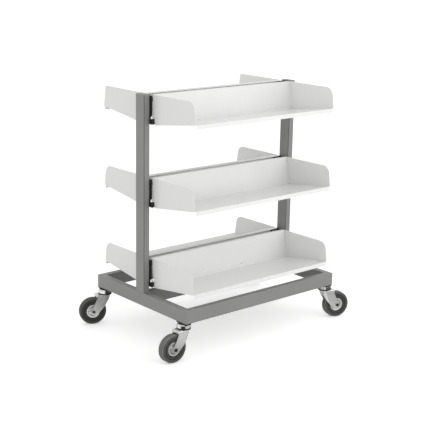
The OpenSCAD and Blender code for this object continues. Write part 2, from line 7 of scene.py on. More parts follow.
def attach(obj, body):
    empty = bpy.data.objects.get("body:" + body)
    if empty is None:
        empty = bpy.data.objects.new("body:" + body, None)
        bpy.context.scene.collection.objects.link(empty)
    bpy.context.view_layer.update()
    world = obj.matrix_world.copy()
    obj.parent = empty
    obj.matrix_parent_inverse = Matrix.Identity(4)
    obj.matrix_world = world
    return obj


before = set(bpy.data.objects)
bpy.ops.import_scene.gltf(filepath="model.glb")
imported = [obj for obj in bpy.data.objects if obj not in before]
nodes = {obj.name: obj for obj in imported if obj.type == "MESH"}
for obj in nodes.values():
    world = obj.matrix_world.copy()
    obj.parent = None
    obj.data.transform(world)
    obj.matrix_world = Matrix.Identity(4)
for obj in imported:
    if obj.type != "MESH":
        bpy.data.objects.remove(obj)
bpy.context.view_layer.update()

# where the trolley's own pieces are, in metres
tiers = {"bottom": 0.2509, "middle": 0.61280, "top": 0.97469}  # height of each tray's fold
castors = {  # end, side, and which way the wheel trails, in degrees
    "front_left": (-1, -1, 178), "front_right": (1, -1, 340),
    "rear_left": (-1, 1, 160), "rear_right": (1, 1, 358),
}
pivot = (0.430, 0.292)
trail = 0.060
wheelRadius = 0.0625


def wheelPlace(corner):
    # centre of a wheel and the turn of its castor
    end, side, degrees = castors[corner]
    turn = math.radians(degrees)
    reach = Vector((trail * math.cos(turn), trail * math.sin(turn), wheelRadius))
    return Vector((end * pivot[0], side * pivot[1], 0)) + reach, turn


# Camera and studio

cameraSet = {
    "stand": (-3.12101, -3.60026, 1.73710),  # metres, in the trolley's frame
    "aim": (-0.01430, -0.00047, 0.51240),
    "roll": 1.03,      # degrees, anticlockwise
    "lens": 89.09,     # mm, over a 36 mm sensor
}

studioSet = {
    "floorSize": 120.0,       # metres across
    "floorColour": (0.93, 0.93, 0.925, 1),
    "floorRough": 0.9, "floorShine": 0.1,
    "floorGlow": 0.42,        # how far the paper is burnt out to white in the picture
    "tentStrength": 0.80,
    "lampPower": 17.0,        # watts
    "lampSize": 2.2,
    "lampStand": (1.0, -2.5, 1.45),
    "lampAim": (0.0, 0.0, 0.75),
    "panels": (-0.755, 0.655, 0.0),  # painted reflection: the floor glows in pale and dark bands along this line for glossy rays, and polished metal shows them
    "reflectionReach": 1.2,        # how far the line runs to each side
    "reflectionStops": (0.02, 0.06, 0.20, 0.24, 0.29, 0.33, 0.36, 0.46, 0.49, 0.66, 0.72, 0.97, 1.0),
    "reflectionTones": (0.55, 0.10, 0.08, 0.90, 0.90, 0.10, 0.60, 0.60, 0.04, 0.04, 1.00, 1.00, 0.5),
}


def placeCamera(place):
    data = bpy.data.cameras.new("photoCamera")
    data.lens = place["lens"]
    data.sensor_width = 36
    data.clip_end = 200
    camera = bpy.data.objects.new("photoCamera", data)
    bpy.context.scene.collection.objects.link(camera)
    stand = Vector(place["stand"])
    look = (Vector(place["aim"]) - stand).to_track_quat("-Z", "Y").to_matrix()
    roll = Matrix.Rotation(math.radians(place["roll"]), 3, "Z")
    camera.matrix_world = Matrix.Translation(stand) @ (look @ roll).to_4x4()
    bpy.context.scene.camera = camera


def addNode(tree, kind, values=None, **settings):
    node = tree.nodes.new(kind)
    for name, value in settings.items():
        setattr(node, name, value)
    for name, value in (values or {}).items():
        node.inputs[name].default_value = value
    return node


def addReflectionBands(tree, place, studio):
    # tone of the painted reflection bands that glow on the floor, along one line
    along = addNode(tree, "ShaderNodeVectorMath", operation="DOT_PRODUCT")
    along.inputs[1].default_value = studio["panels"]
    spread = addNode(tree, "ShaderNodeMapRange", {
        "From Min": -studio["reflectionReach"], "From Max": studio["reflectionReach"]})
    ramp = addNode(tree, "ShaderNodeValToRGB")
    bars = ramp.color_ramp.elements
    for stop, tone in zip(studio["reflectionStops"], studio["reflectionTones"]):
        bar = bars.new(stop)
        bar.color = (tone, tone, tone, 1)
    bars.remove(bars[0])
    bars.remove(bars[-1])
    tree.links.new(place, along.inputs[0])
    tree.links.new(along.outputs["Value"], spread.inputs["Value"])
    tree.links.new(spread.outputs["Result"], ramp.inputs["Fac"])
    return ramp.outputs["Color"]


def buildTent(studio):
    world = bpy.data.worlds.new("studioTent")
    bpy.context.scene.world = world
    world.use_nodes = True
    tree = world.node_tree
    tree.nodes.clear()
    plain = addNode(tree, "ShaderNodeBackground", {"Color": (1, 1, 1, 1)})
    path = addNode(tree, "ShaderNodeLightPath")
    level = addNode(tree, "ShaderNodeMapRange", {"To Min": studio["tentStrength"], "To Max": 1.0})
    out = addNode(tree, "ShaderNodeOutputWorld")
    tree.links.new(path.outputs["Is Camera Ray"], level.inputs["Value"])
    tree.links.new(level.outputs["Result"], plain.inputs["Strength"])
    tree.links.new(plain.outputs["Background"], out.inputs["Surface"])


def buildLamp(studio):
    lamp = bpy.data.lights.new("frontSoftbox", "AREA")
    lamp.shape = "SQUARE"
    lamp.size = studio["lampSize"]
    lamp.energy = studio["lampPower"]
    stand = Vector(studio["lampStand"])
    turn = (Vector(studio["lampAim"]) - stand).to_track_quat("-Z", "Y").to_matrix().to_4x4()
    softbox = bpy.data.objects.new("frontSoftbox", lamp)
    softbox.matrix_world = Matrix.Translation(stand) @ turn
    bpy.context.scene.collection.objects.link(softbox)


def buildFloor(studio):
    half = studio["floorSize"] / 2
    mesh = bpy.data.meshes.new("studioFloor")
    corners = [(-half, -half, 0), (half, -half, 0), (half, half, 0), (-half, half, 0)]
    mesh.from_pydata(corners, [], [(0, 1, 2, 3)])
    floor = bpy.data.objects.new("studioFloor", mesh)
    bpy.context.scene.collection.objects.link(floor)
    paint = bpy.data.materials.new("floorPaper")
    paint.use_nodes = True
    tree = paint.node_tree
    shader = tree.nodes["Principled BSDF"]
    shader.inputs["Base Color"].default_value = studio["floorColour"]
    shader.inputs["Roughness"].default_value = studio["floorRough"]
    shader.inputs["Specular IOR Level"].default_value = studio["floorShine"]
    shader.inputs["Emission Color"].default_value = (1, 1, 1, 1)
    place = addNode(tree, "ShaderNodeTexCoord")
    panels = addReflectionBands(tree, place.outputs["Object"], studio)
    glossyGlow = addNode(tree, "ShaderNodeEmission")
    path = addNode(tree, "ShaderNodeLightPath")
    glow = addNode(tree, "ShaderNodeMath", operation="MULTIPLY")
    glow.inputs[1].default_value = studio["floorGlow"]
    mix = addNode(tree, "ShaderNodeMixShader")
    tree.links.new(panels, glossyGlow.inputs["Color"])
    tree.links.new(path.outputs["Is Camera Ray"], glow.inputs[0])
    tree.links.new(glow.outputs["Value"], shader.inputs["Emission Strength"])
    # glossy rays see the floor as glowing bands, a painted reflection for polished metal
    tree.links.new(path.outputs["Is Glossy Ray"], mix.inputs["Fac"])
    tree.links.new(shader.outputs["BSDF"], mix.inputs[1])
    tree.links.new(glossyGlow.outputs["Emission"], mix.inputs[2])
    tree.links.new(mix.outputs["Shader"], tree.nodes["Material Output"].inputs["Surface"])
    mesh.materials.append(paint)


placeCamera(cameraSet)
buildTent(studioSet)
buildLamp(studioSet)
buildFloor(studioSet)
bpy.context.scene.view_settings.view_transform = "Standard"
bpy.context.scene.view_settings.look = "None"
print("camera and studio set")

# Shader groups shared by the finishes


def newGroup(name, inputs, outputs):
    group = bpy.data.node_groups.new(name, "ShaderNodeTree")
    for label, kind, value in inputs:
        socket = group.interface.new_socket(label, in_out="INPUT", socket_type=kind)
        if value is not None:
            socket.default_value = value
    for label, kind in outputs:
        group.interface.new_socket(label, in_out="OUTPUT", socket_type=kind)
    return group, group.nodes.new("NodeGroupInput"), group.nodes.new("NodeGroupOutput")


def buildFilmTexture():
    # the slight orange peel of a sprayed or powdered film: broad waves and a fine grain
    group, into, out = newGroup("filmTexture", [
        ("Vector", "NodeSocketVector", None), ("Wave Scale", "NodeSocketFloat", 300.0),
        ("Grain Scale", "NodeSocketFloat", 1500.0), ("Grain Share", "NodeSocketFloat", 0.3)],
        [("Height", "NodeSocketFloat")])
    wave = addNode(group, "ShaderNodeTexNoise", {"Detail": 2.0, "Roughness": 0.5})
    grain = addNode(group, "ShaderNodeTexNoise", {"Detail": 1.0, "Roughness": 0.6})
    mix = addNode(group, "ShaderNodeMix")
    for noise, scale in ((wave, "Wave Scale"), (grain, "Grain Scale")):
        group.links.new(into.outputs["Vector"], noise.inputs["Vector"])
        group.links.new(into.outputs[scale], noise.inputs["Scale"])
    group.links.new(into.outputs["Grain Share"], mix.inputs["Factor"])
    group.links.new(wave.outputs["Fac"], mix.inputs["A"])
    group.links.new(grain.outputs["Fac"], mix.inputs["B"])
    group.links.new(mix.outputs["Result"], out.inputs["Height"])
    return group


def buildToneDrift():
    # slow changes of tone and gloss over a coat
    group, into, out = newGroup("toneDrift", [
        ("Vector", "NodeSocketVector", None), ("Scale", "NodeSocketFloat", 6.0),
        ("Light", "NodeSocketColor", (1, 1, 1, 1)), ("Dark", "NodeSocketColor", (0.9, 0.9, 0.9, 1)),
        ("Gloss Low", "NodeSocketFloat", 0.3), ("Gloss High", "NodeSocketFloat", 0.4)],
        [("Color", "NodeSocketColor"), ("Roughness", "NodeSocketFloat")])
    slow = addNode(group, "ShaderNodeTexNoise", {"Detail": 4.0, "Roughness": 0.55})
    spread = addNode(group, "ShaderNodeMapRange", {"From Min": 0.3, "From Max": 0.7})
    mix = addNode(group, "ShaderNodeMix", data_type="RGBA")
    gloss = addNode(group, "ShaderNodeMapRange", {"From Min": 0.0, "From Max": 1.0})
    group.links.new(into.outputs["Vector"], slow.inputs["Vector"])
    group.links.new(into.outputs["Scale"], slow.inputs["Scale"])
    group.links.new(slow.outputs["Fac"], spread.inputs["Value"])
    group.links.new(spread.outputs["Result"], mix.inputs["Factor"])
    group.links.new(into.outputs["Light"], mix.inputs["A"])
    group.links.new(into.outputs["Dark"], mix.inputs["B"])
    group.links.new(spread.outputs["Result"], gloss.inputs["Value"])
    group.links.new(into.outputs["Gloss Low"], gloss.inputs["To Min"])
    group.links.new(into.outputs["Gloss High"], gloss.inputs["To Max"])
    group.links.new(mix.outputs["Result"], out.inputs["Color"])
    group.links.new(gloss.outputs["Result"], out.inputs["Roughness"])
    return group


def buildSettledDust():
    # a thin veil of dust on what faces up
    group, into, out = newGroup("settledDust", [
        ("Color", "NodeSocketColor", (1, 1, 1, 1)), ("Dust", "NodeSocketColor", (0.5, 0.49, 0.46, 1)),
        ("Vector", "NodeSocketVector", None), ("Amount", "NodeSocketFloat", 0.2)],
        [("Color", "NodeSocketColor")])
    surface = addNode(group, "ShaderNodeNewGeometry")
    parts = addNode(group, "ShaderNodeSeparateXYZ")
    upward = addNode(group, "ShaderNodeMapRange", {"From Min": 0.3, "From Max": 1.0})
    patches = addNode(group, "ShaderNodeTexNoise", {"Scale": 60.0, "Detail": 5.0, "Roughness": 0.65})
    both = addNode(group, "ShaderNodeMath", operation="MULTIPLY")
    share = addNode(group, "ShaderNodeMath", operation="MULTIPLY")
    mix = addNode(group, "ShaderNodeMix", data_type="RGBA")
    group.links.new(surface.outputs["Normal"], parts.inputs["Vector"])
    group.links.new(parts.outputs["Z"], upward.inputs["Value"])
    group.links.new(into.outputs["Vector"], patches.inputs["Vector"])
    group.links.new(upward.outputs["Result"], both.inputs[0])
    group.links.new(patches.outputs["Fac"], both.inputs[1])
    group.links.new(both.outputs["Value"], share.inputs[0])
    group.links.new(into.outputs["Amount"], share.inputs[1])
    group.links.new(share.outputs["Value"], mix.inputs["Factor"])
    group.links.new(into.outputs["Color"], mix.inputs["A"])
    group.links.new(into.outputs["Dust"], mix.inputs["B"])
    group.links.new(mix.outputs["Result"], out.inputs["Color"])
    return group


def buildTurnedRings():
    # distances on a wheel, from coordinates with the axle along Y: how far out, and fine rings around it
    group, into, out = newGroup("turnedRings", [
        ("Vector", "NodeSocketVector", None), ("Inner", "NodeSocketFloat", 0.03),
        ("Outer", "NodeSocketFloat", 0.06), ("Rings", "NodeSocketFloat", 1500.0)],
        [("Share", "NodeSocketFloat"), ("Ring Height", "NodeSocketFloat")])
    flat = addNode(group, "ShaderNodeVectorMath", operation="MULTIPLY")
    flat.inputs[1].default_value = (1, 0, 1)
    reach = addNode(group, "ShaderNodeVectorMath", operation="LENGTH")
    share = addNode(group, "ShaderNodeMapRange")
    turns = addNode(group, "ShaderNodeMath", operation="MULTIPLY")
    wave = addNode(group, "ShaderNodeMath", operation="SINE")
    group.links.new(into.outputs["Vector"], flat.inputs[0])
    group.links.new(flat.outputs["Vector"], reach.inputs[0])
    group.links.new(reach.outputs["Value"], share.inputs["Value"])
    group.links.new(into.outputs["Inner"], share.inputs["From Min"])
    group.links.new(into.outputs["Outer"], share.inputs["From Max"])
    group.links.new(reach.outputs["Value"], turns.inputs[0])
    group.links.new(into.outputs["Rings"], turns.inputs[1])
    group.links.new(turns.outputs["Value"], wave.inputs[0])
    group.links.new(share.outputs["Result"], out.inputs["Share"])
    group.links.new(wave.outputs["Value"], out.inputs["Ring Height"])
    return group


def buildPaintedCornerShade():
    # painted shade: the paint is darkened over a tube's rounded upright corners, standing in for the line of
    # shade where two faces meet
    group, into, out = newGroup("paintedCornerShade", [
        ("Color", "NodeSocketColor", (1, 1, 1, 1)), ("Amount", "NodeSocketFloat", 0.5)],
        [("Color", "NodeSocketColor")])
    surface = addNode(group, "ShaderNodeNewGeometry")
    parts = addNode(group, "ShaderNodeSeparateXYZ")
    slant = addNode(group, "ShaderNodeMath", operation="MULTIPLY")
    size = addNode(group, "ShaderNodeMath", operation="ABSOLUTE")
    spread = addNode(group, "ShaderNodeMapRange", {"From Min": 0.0, "From Max": 0.35})
    share = addNode(group, "ShaderNodeMath", operation="MULTIPLY")
    mix = addNode(group, "ShaderNodeMix", data_type="RGBA")
    mix.inputs["B"].default_value = (0.02, 0.02, 0.02, 1)
    group.links.new(surface.outputs["Normal"], parts.inputs["Vector"])
    group.links.new(parts.outputs["X"], slant.inputs[0])
    group.links.new(parts.outputs["Y"], slant.inputs[1])
    group.links.new(slant.outputs["Value"], size.inputs[0])
    group.links.new(size.outputs["Value"], spread.inputs["Value"])
    group.links.new(spread.outputs["Result"], share.inputs[0])
    group.links.new(into.outputs["Amount"], share.inputs[1])
    group.links.new(share.outputs["Value"], mix.inputs["Factor"])
    group.links.new(into.outputs["Color"], mix.inputs["A"])
    group.links.new(mix.outputs["Result"], out.inputs["Color"])
    return group


filmTexture = buildFilmTexture()
toneDrift = buildToneDrift()
settledDust = buildSettledDust()
turnedRings = buildTurnedRings()
paintedCornerShade = buildPaintedCornerShade()
print("shader groups built")

# Finishes


def newFinish(name):
    material = bpy.data.materials.new(name)
    material.use_nodes = True
    tree = material.node_tree
    return material, tree, tree.nodes["Principled BSDF"], addNode(tree, "ShaderNodeTexCoord")


def putGroup(tree, group, values):
    node = tree.nodes.new("ShaderNodeGroup")
    node.node_tree = group
    for name, value in values.items():
        node.inputs[name].default_value = value
    return node


# the corner value sets how much painted shade darkens the rounded upright corners
framePaintSet = {
    "light": (0.286, 0.286, 0.280, 1), "dark": (0.264, 0.264, 0.259, 1),
    "glossLow": 0.36, "glossHigh": 0.44, "peelDepth": 0.00004, "dust": 0.10, "corner": 0.6,
}

trayPaintSet = {
    "light": (0.895, 0.895, 0.886, 1), "dark": (0.880, 0.880, 0.872, 1),
    "glossLow": 0.17, "glossHigh": 0.23, "peelDepth": 0.00002, "dust": 0.02, "corner": 0.0,
}

bracketPaintSet = {
    "light": (0.012, 0.012, 0.012, 1), "dark": (0.007, 0.007, 0.007, 1),
    "glossLow": 0.34, "glossHigh": 0.48, "peelDepth": 0.00003, "dust": 0.03, "corner": 0.0,
}


coatTexture = {"drift": 6.0, "wave": 420.0, "grain": 2200.0, "grainShare": 0.3}  # features a metre


def coatedFinish(name, values, seam=None):
    # a powder coat or enamel: drifting tone, painted shade over rounded upright corners, film texture in the
    # bump, a veil of dust
    material, tree, shader, place = newFinish(name)
    tone = putGroup(tree, toneDrift, {
        "Scale": coatTexture["drift"], "Light": values["light"], "Dark": values["dark"],
        "Gloss Low": values["glossLow"], "Gloss High": values["glossHigh"]})
    film = putGroup(tree, filmTexture, {
        "Wave Scale": coatTexture["wave"], "Grain Scale": coatTexture["grain"],
        "Grain Share": coatTexture["grainShare"]})
    dust = putGroup(tree, settledDust, {"Amount": values["dust"]})
    # painted shade along the rounded upright corners
    corners = putGroup(tree, paintedCornerShade, {"Amount": values["corner"]})
    bump = addNode(tree, "ShaderNodeBump", {"Strength": 1.0, "Distance": values["peelDepth"]})
    for node in (tone, film, dust):
        tree.links.new(place.outputs["Object"], node.inputs["Vector"])
    tree.links.new(tone.outputs["Color"], corners.inputs["Color"])
    tree.links.new(corners.outputs["Color"], dust.inputs["Color"])
    tree.links.new(dust.outputs["Color"], shader.inputs["Base Color"])
    tree.links.new(tone.outputs["Roughness"], shader.inputs["Roughness"])
    tree.links.new(film.outputs["Height"], bump.inputs["Height"])
    tree.links.new(bump.outputs["Normal"], shader.inputs["Normal"])
    if seam:
        addMitreSeam(tree, shader, place, dust, seam)
    return material


railSeamSet = {
    "offset": 0.119,   # along X past the depth, where the corner cuts of the base ring lie
    "halfWidth": 0.0006, "strength": 0.75, "tone": (0.10, 0.10, 0.098, 1),
}


def addMitreSeam(tree, shader, place, dust, seam):
    # the painted joint line where two rails of the base ring meet on a slant
    size = addNode(tree, "ShaderNodeVectorMath", operation="ABSOLUTE")
    along = addNode(tree, "ShaderNodeVectorMath", operation="DOT_PRODUCT")
    along.inputs[1].default_value = (1, -1, 0)
    gap = addNode(tree, "ShaderNodeMath", operation="SUBTRACT")
    gap.inputs[1].default_value = seam["offset"]
    away = addNode(tree, "ShaderNodeMath", operation="ABSOLUTE")
    line = addNode(tree, "ShaderNodeMapRange", {
        "From Min": 0.0, "From Max": seam["halfWidth"], "To Min": seam["strength"], "To Max": 0.0})
    mix = addNode(tree, "ShaderNodeMix", data_type="RGBA")
    mix.inputs["B"].default_value = seam["tone"]
    tree.links.new(place.outputs["Object"], size.inputs[0])
    tree.links.new(size.outputs["Vector"], along.inputs[0])
    tree.links.new(along.outputs["Value"], gap.inputs[0])
    tree.links.new(gap.outputs["Value"], away.inputs[0])
    tree.links.new(away.outputs["Value"], line.inputs["Value"])
    tree.links.new(line.outputs["Result"], mix.inputs["Factor"])
    tree.links.new(dust.outputs["Color"], mix.inputs["A"])
    tree.links.new(mix.outputs["Result"], shader.inputs["Base Color"])


zincSet = {
    "metal": 0.50, "light": (0.82, 0.83, 0.81, 1), "dark": (0.745, 0.75, 0.73, 1),
    "glossLow": 0.24, "glossHigh": 0.30, "rollDepth": 0.000004, "cloud": 34.0,
}

forkShadeSet = {  # painted shade inside the forks: the plate is darkened to stand in for the shadow between the legs and the wheel
    "metal": 0.3, "light": (0.075, 0.075, 0.072, 1), "dark": (0.045, 0.045, 0.043, 1),
    "glossLow": 0.5, "glossHigh": 0.7, "rollDepth": 0.00002, "cloud": 60.0,
    "half": 0.0219,    # half the clear width between a fork's legs
    "side": 0.6, "under": -0.5, "behind": 0.3,  # how squarely a face has to look each way
}

brightSet = {
    "metal": 1.0,
    "light": (0.86, 0.86, 0.85, 1), "dark": (0.76, 0.76, 0.74, 1),
    "glossLow": 0.09, "glossHigh": 0.16, "rollDepth": 0.00001, "cloud": 60.0,
}

axleSet = {
    "metal": 1.0,
    "light": (0.16, 0.16, 0.155, 1), "dark": (0.06, 0.06, 0.058, 1),
    "glossLow": 0.25, "glossHigh": 0.42, "rollDepth": 0.00002, "cloud": 160.0,
}


plateTexture = {"wave": 260.0, "grain": 1800.0, "grainShare": 0.5}


def platedFinish(name, values):
    # zinc, nickel or blackened plate on steel: cloudy tone and faint rolling marks
    material, tree, shader, place = newFinish(name)
    shader.inputs["Metallic"].default_value = values["metal"]
    tone = putGroup(tree, toneDrift, {
        "Scale": values["cloud"], "Light": values["light"], "Dark": values["dark"],
        "Gloss Low": values["glossLow"], "Gloss High": values["glossHigh"]})
    film = putGroup(tree, filmTexture, {
        "Wave Scale": plateTexture["wave"], "Grain Scale": plateTexture["grain"],
        "Grain Share": plateTexture["grainShare"]})
    bump = addNode(tree, "ShaderNodeBump", {"Strength": 1.0, "Distance": values["rollDepth"]})
    for node in (tone, film):
        tree.links.new(place.outputs["Object"], node.inputs["Vector"])
    tree.links.new(tone.outputs["Color"], shader.inputs["Base Color"])
    tree.links.new(tone.outputs["Roughness"], shader.inputs["Roughness"])
    tree.links.new(film.outputs["Height"], bump.inputs["Height"])
    tree.links.new(bump.outputs["Normal"], shader.inputs["Normal"])
    return material


def onWheel(tree, place, centre, turn):
    # coordinates of one wheel, with its axle along Y
    values = {"Location": centre, "Rotation": (0, 0, turn)}
    mapping = addNode(tree, "ShaderNodeMapping", values, vector_type="TEXTURE")
    tree.links.new(place.outputs["Object"], mapping.inputs["Vector"])
    return mapping.outputs["Vector"]


hubSet = {
    "metal": 0.44,
    "inner": 0.012, "outer": 0.0315,
    "stops": (0.0, 0.12, 0.34, 0.52, 0.60, 0.95),
    "tones": (0.60, 0.80, 0.76, 0.56, 0.92, 0.94),
    "worn": (0.86, 0.86, 0.85, 1), "cloud": 60.0,
    "glossLow": 0.22, "glossHigh": 0.34, "ringDepth": 0.000004, "rings": 5200.0,
}


def ringTones(ramp, values, tint):
    bars = ramp.color_ramp.elements
    for stop, tone in zip(values["stops"], values["tones"]):
        bar = bars.new(stop)
        bar.color = (tone * tint[0], tone * tint[1], tone * tint[2], 1)
    bars.remove(bars[0])
    bars.remove(bars[-1])


def hubFinish(name, values, centre, turn):
    # zinc-plated hub: turned rings, darker in the dish, bright along the rim
    material, tree, shader, place = newFinish(name)
    shader.inputs["Metallic"].default_value = values["metal"]
    wheelVector = onWheel(tree, place, centre, turn)
    rings = putGroup(tree, turnedRings, {
        "Inner": values["inner"], "Outer": values["outer"], "Rings": values["rings"]})
    tones = addNode(tree, "ShaderNodeValToRGB")
    ringTones(tones, values, (1.0, 1.0, 0.98))
    drift = putGroup(tree, toneDrift, {
        "Scale": values["cloud"], "Light": (1, 1, 1, 1), "Dark": values["worn"],
        "Gloss Low": values["glossLow"], "Gloss High": values["glossHigh"]})
    both = addNode(tree, "ShaderNodeMix", data_type="RGBA", blend_type="MULTIPLY")
    both.inputs["Factor"].default_value = 1.0
    bump = addNode(tree, "ShaderNodeBump", {"Strength": 1.0, "Distance": values["ringDepth"]})
    for node in (rings, drift):
        tree.links.new(wheelVector, node.inputs["Vector"])
    tree.links.new(rings.outputs["Share"], tones.inputs["Fac"])
    tree.links.new(tones.outputs["Color"], both.inputs["A"])
    tree.links.new(drift.outputs["Color"], both.inputs["B"])
    tree.links.new(both.outputs["Result"], shader.inputs["Base Color"])
    tree.links.new(drift.outputs["Roughness"], shader.inputs["Roughness"])
    tree.links.new(rings.outputs["Ring Height"], bump.inputs["Height"])
    tree.links.new(bump.outputs["Normal"], shader.inputs["Normal"])
    return material


tyreSet = {
    "inner": 0.0315, "outer": 0.0625,
    # painted shade and light: the darkest bands stand in for shade in the sidewall's steps, the palest for
    # light on the tread
    "stops": (0.0, 0.13, 0.18, 0.24, 0.40, 0.43, 0.51, 0.54, 0.70, 0.80, 0.90, 0.97),
    "tones": (0.010, 0.012, 0.100, 0.066, 0.046, 0.015, 0.015, 0.100, 0.066, 0.110, 0.165, 0.190),
    "worn": (0.78, 0.78, 0.78, 1), "cloud": 40.0, "shine": 0.35,
    "glossLow": 0.55, "glossHigh": 0.72, "skinDepth": 0.00008,
    "wave": 500.0, "grain": 2600.0, "grainShare": 0.6,
    "dust": 0.20, "dustColour": (0.15, 0.15, 0.14, 1),
    # painted light and shade: each tyre's tones are raised where its corner catches more light and lowered
    # where it sits in shade
    "paintedLight": {"front_left": 1.35, "front_right": 1.1, "rear_left": 0.75, "rear_right": 1.0},
}


def tyreFinish(name, values, paintedLight, centre, turn):
    # dark grey rubber, with painted shade and light: dark rings of painted shade on the sidewall, paler tones
    # out to the tread as painted light
    material, tree, shader, place = newFinish(name)
    shader.inputs["Specular IOR Level"].default_value = values["shine"]
    wheelVector = onWheel(tree, place, centre, turn)
    rings = putGroup(tree, turnedRings, {"Inner": values["inner"], "Outer": values["outer"]})
    tones = addNode(tree, "ShaderNodeValToRGB")
    # painted light and shade: the tyre's level raises or lowers the whole ramp
    ringTones(tones, values, (paintedLight, paintedLight, paintedLight * 0.94))
    drift = putGroup(tree, toneDrift, {
        "Scale": values["cloud"], "Light": (1, 1, 1, 1), "Dark": values["worn"],
        "Gloss Low": values["glossLow"], "Gloss High": values["glossHigh"]})
    both = addNode(tree, "ShaderNodeMix", data_type="RGBA", blend_type="MULTIPLY")
    both.inputs["Factor"].default_value = 1.0
    film = putGroup(tree, filmTexture, {
        "Wave Scale": values["wave"], "Grain Scale": values["grain"], "Grain Share": values["grainShare"]})
    dust = putGroup(tree, settledDust, {"Amount": values["dust"], "Dust": values["dustColour"]})
    bump = addNode(tree, "ShaderNodeBump", {"Strength": 1.0, "Distance": values["skinDepth"]})
    for node in (rings, drift, film, dust):
        tree.links.new(wheelVector, node.inputs["Vector"])
    tree.links.new(rings.outputs["Share"], tones.inputs["Fac"])
    tree.links.new(tones.outputs["Color"], both.inputs["A"])
    tree.links.new(drift.outputs["Color"], both.inputs["B"])
    tree.links.new(both.outputs["Result"], dust.inputs["Color"])
    tree.links.new(dust.outputs["Color"], shader.inputs["Base Color"])
    tree.links.new(drift.outputs["Roughness"], shader.inputs["Roughness"])
    tree.links.new(film.outputs["Height"], bump.inputs["Height"])
    tree.links.new(bump.outputs["Normal"], shader.inputs["Normal"])
    return material


finishes = {
    "framePaint": coatedFinish("framePaint", framePaintSet),
    "railPaint": coatedFinish("railPaint", framePaintSet, railSeamSet),
    "trayPaint": coatedFinish("trayPaint", trayPaintSet),
    "bracketPaint": coatedFinish("bracketPaint", bracketPaintSet),
    "zincPlate": platedFinish("zincPlate", zincSet),
    "forkInsideShade": platedFinish("forkInsideShade", forkShadeSet),
    "brightPlate": platedFinish("brightPlate", brightSet),
    "axleSteel": platedFinish("axleSteel", axleSet),
}
for corner in castors:
    hubName, tyreName = corner + "Hub", corner + "TyrePaintedLight"
    # painted light and shade for this corner's tyre
    paintedLight = tyreSet["paintedLight"][corner]
    finishes[hubName] = hubFinish(hubName, hubSet, *wheelPlace(corner))
    finishes[tyreName] = tyreFinish(tyreName, tyreSet, paintedLight, *wheelPlace(corner))
print("finishes built:", ", ".join(finishes))

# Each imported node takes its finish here; the first ending that fits decides
finishByEnding = [
    ("_tray_sheet", "trayPaint"), ("_tray_left_end", "trayPaint"), ("_tray_right_end", "trayPaint"),
    ("_tray_brackets", "bracketPaint"), ("castor_mount_bolts", "bracketPaint"),
    ("_castor_plate", "bracketPaint"), ("_castor_bearing", "brightPlate"), ("_castor_fork", "zincPlate"),
    ("_castor_axle", "axleSteel"), ("_tray_fixings", "brightPlate"), ("_rail", "railPaint"), ("", "framePaint"),
]

sealSet = {"radius": 0.0296, "low": 0.1395, "high": 0.1465}  # the ring's face lies outside and between these


def blackenSeal(piece, corner):
    # the dust ring under the bearing cup is black
    end, side, _ = castors[corner]
    middle = Vector((end * pivot[0], side * pivot[1], 0))
    piece.data.materials.append(finishes["bracketPaint"])
    for face in piece.data.polygons:
        place = face.center - middle
        if sealSet["low"] < face.center.z < sealSet["high"] and place.xy.length > sealSet["radius"]:
            face.material_index = 1


def shadeForkHollow(piece, corner):
    # painted shade on the faces of a fork that look at its wheel: the legs' insides, under the crown, behind
    # the round front
    centre, turn = wheelPlace(corner)
    along = Vector((math.cos(turn), math.sin(turn), 0))
    across = Vector((-along.y, along.x, 0))
    piece.data.materials.append(finishes["forkInsideShade"])
    for face in piece.data.polygons:
        inward = centre - face.center
        behind = inward.dot(along) > trail and face.normal.dot(along) > forkShadeSet["behind"]
        side = abs(face.normal.dot(across)) > forkShadeSet["side"]
        facing = side or face.normal.z < forkShadeSet["under"] or behind
        if facing and abs(inward.dot(across)) < forkShadeSet["half"] and face.normal.dot(inward) > 0:
            face.material_index = 1


def dressNodes():
    for name, piece in nodes.items():
        piece.data.materials.clear()
        corner = next((label for label in castors if name.startswith(label + "_castor")), None)
        if corner and name.endswith(("_wheel", "_tyre")):
            finish = corner + ("Hub" if name.endswith("_wheel") else "TyrePaintedLight")
        else:
            finish = next(label for ending, label in finishByEnding if name.endswith(ending))
        piece.data.materials.append(finishes[finish])
        if name.endswith("_bearing"):
            blackenSeal(piece, corner)
        if name.endswith("_fork"):
            shadeForkHollow(piece, corner)
    print("dressed", len(nodes), "nodes")


dressNodes()

# Small repeated pieces, each from a Geometry Nodes tree


def startTree(name, inputs):
    tree = bpy.data.node_groups.new(name, "GeometryNodeTree")
    tree.interface.new_socket("Geometry", in_out="INPUT", socket_type="NodeSocketGeometry")
    for label, kind, value in inputs:
        socket = tree.interface.new_socket(label, in_out="INPUT", socket_type=kind)
        if value is not None:
            socket.default_value = value
    tree.interface.new_socket("Geometry", in_out="OUTPUT", socket_type="NodeSocketGeometry")
    return tree, tree.nodes.new("NodeGroupInput"), tree.nodes.new("NodeGroupOutput")


def endTree(tree, into, out, instances):
    realize = addNode(tree, "GeometryNodeRealizeInstances")
    dress = addNode(tree, "GeometryNodeSetMaterial")
    tree.links.new(instances, realize.inputs["Geometry"])
    tree.links.new(realize.outputs["Geometry"], dress.inputs["Geometry"])
    tree.links.new(into.outputs["Finish"], dress.inputs["Material"])
    tree.links.new(dress.outputs["Geometry"], out.inputs["Geometry"])


